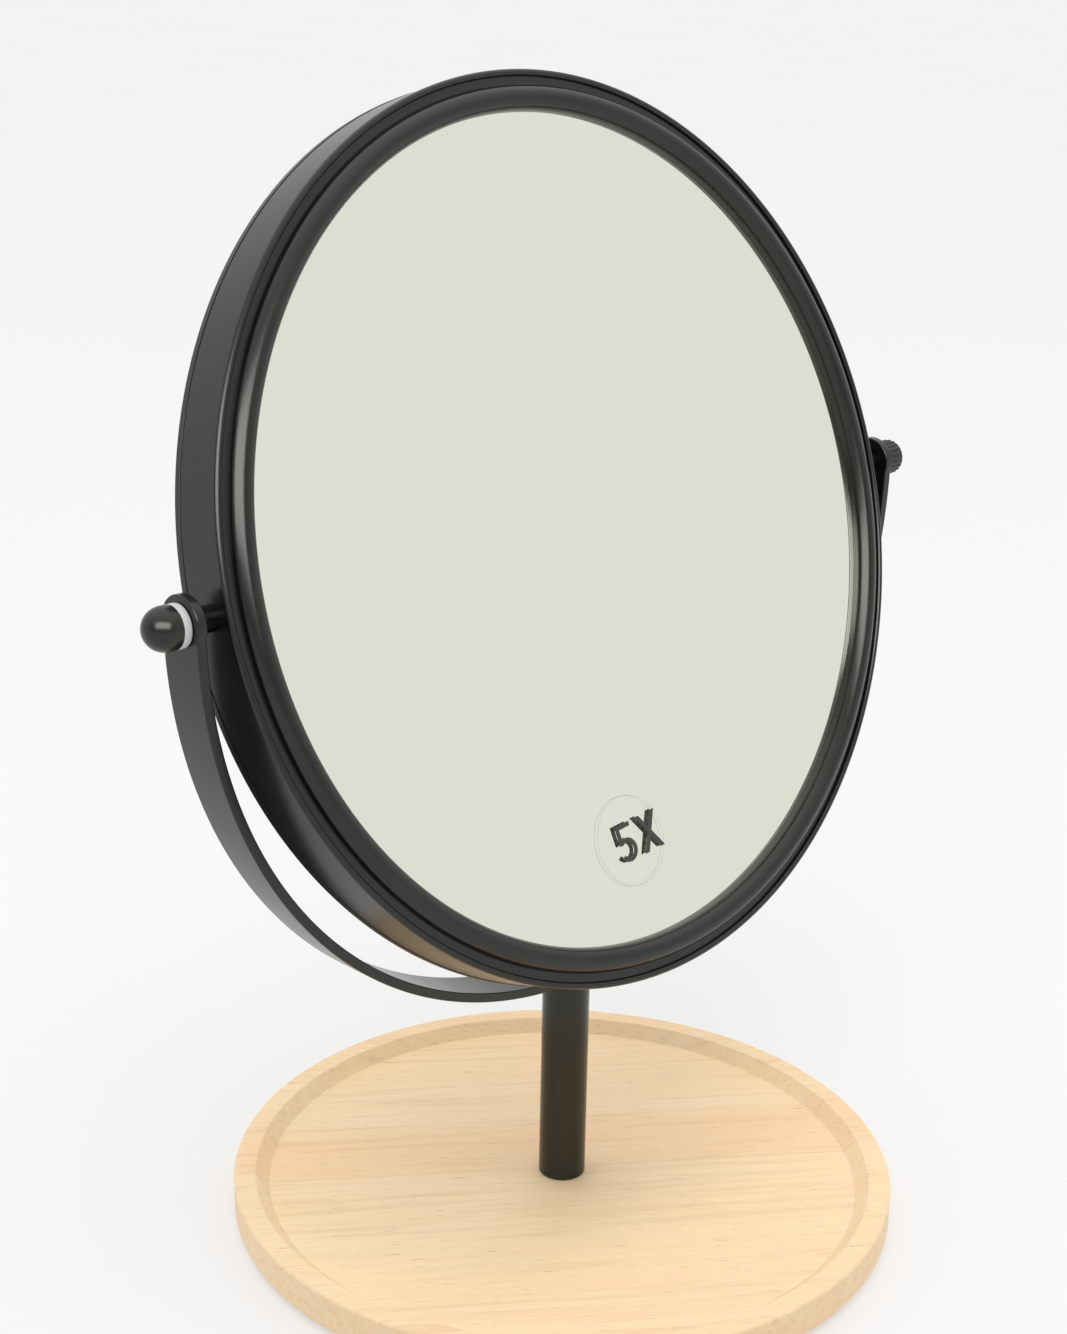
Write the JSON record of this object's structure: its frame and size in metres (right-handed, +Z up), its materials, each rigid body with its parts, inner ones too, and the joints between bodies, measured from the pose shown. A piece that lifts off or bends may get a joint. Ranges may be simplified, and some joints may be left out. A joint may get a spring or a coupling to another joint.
{
  "type": "tabletop shaving mirror",
  "caption": "Round double-sided magnifying shaving mirror that tilts and turns over in a flat-strip yoke, on a short post in a shallow round wooden tray.",
  "frame": {"origin": "centre of the tray's footprint, on the surface it stands on", "axes": "+Z up, X along the tilt axis with the knob at +X, the magnifying side facing -Y and leaning back at rest"},
  "size_m": [0.2484, 0.17, 0.2855],
  "materials": {
    "pale_wood": "oiled, satin, edge-glued staves",
    "black_paint": "satin black powder coat on steel",
    "black_gloss": "semi-gloss black paint on steel",
    "zinc_steel": "zinc plated",
    "brass_insert": "turned",
    "white_nylon": "translucent white nylon",
    "clear_rubber": "soft translucent silicone",
    "grey_gasket": "soft PVC strip",
    "silvered_glass": "float glass silvered on its back",
    "grey_card": "fibre board",
    "grey_plastic": "moulded ABS",
    "grey_foam": "closed-cell foam",
    "clear_label": "clear film label"
  },
  "bodies": {
    "stand": {"tray": "pale_wood", "foot_pads": "clear_rubber", "base_screw": "zinc_steel", "base_washer": "zinc_steel", "post_bottom_plug": "zinc_steel", "post_tube": "black_paint", "post_top_plug": "zinc_steel", "yoke": "black_paint", "yoke_washer": "black_paint", "yoke_screw": "black_paint"},
    "head": {"hoop": "black_paint", "left_boss": "zinc_steel", "right_boss": "zinc_steel", "left_pivot_stud": "zinc_steel", "right_pivot_stud": "zinc_steel", "left_spacer": "black_paint", "right_spacer": "black_paint", "left_washer": "white_nylon", "right_washer": "white_nylon", "left_cap_nut": "black_gloss", "front_bezel": "black_paint", "rear_bezel": "black_paint", "front_gasket": "grey_gasket", "rear_gasket": "grey_gasket", "front_mirror": "silvered_glass", "rear_mirror": "silvered_glass", "rear_card": "grey_card", "inner_ring": "grey_plastic", "front_foam": "grey_foam", "magnification_sticker": "clear_label"},
    "knob": {"right_knob": "black_gloss", "knob_insert": "brass_insert"}
  },
  "joints": [
    {"name": "mirror_tilt", "type": "hinge", "parent": "stand", "child": "head", "pos_m": [0, 0, 0.1803], "axis": [1, 0, 0], "continuous": true},
    {"name": "knob_turn", "type": "hinge", "parent": "head", "child": "knob", "pos_m": [0.12, 0, 0.1803], "axis": [1, 0, 0], "range_deg": [0, 360]}
  ]
}
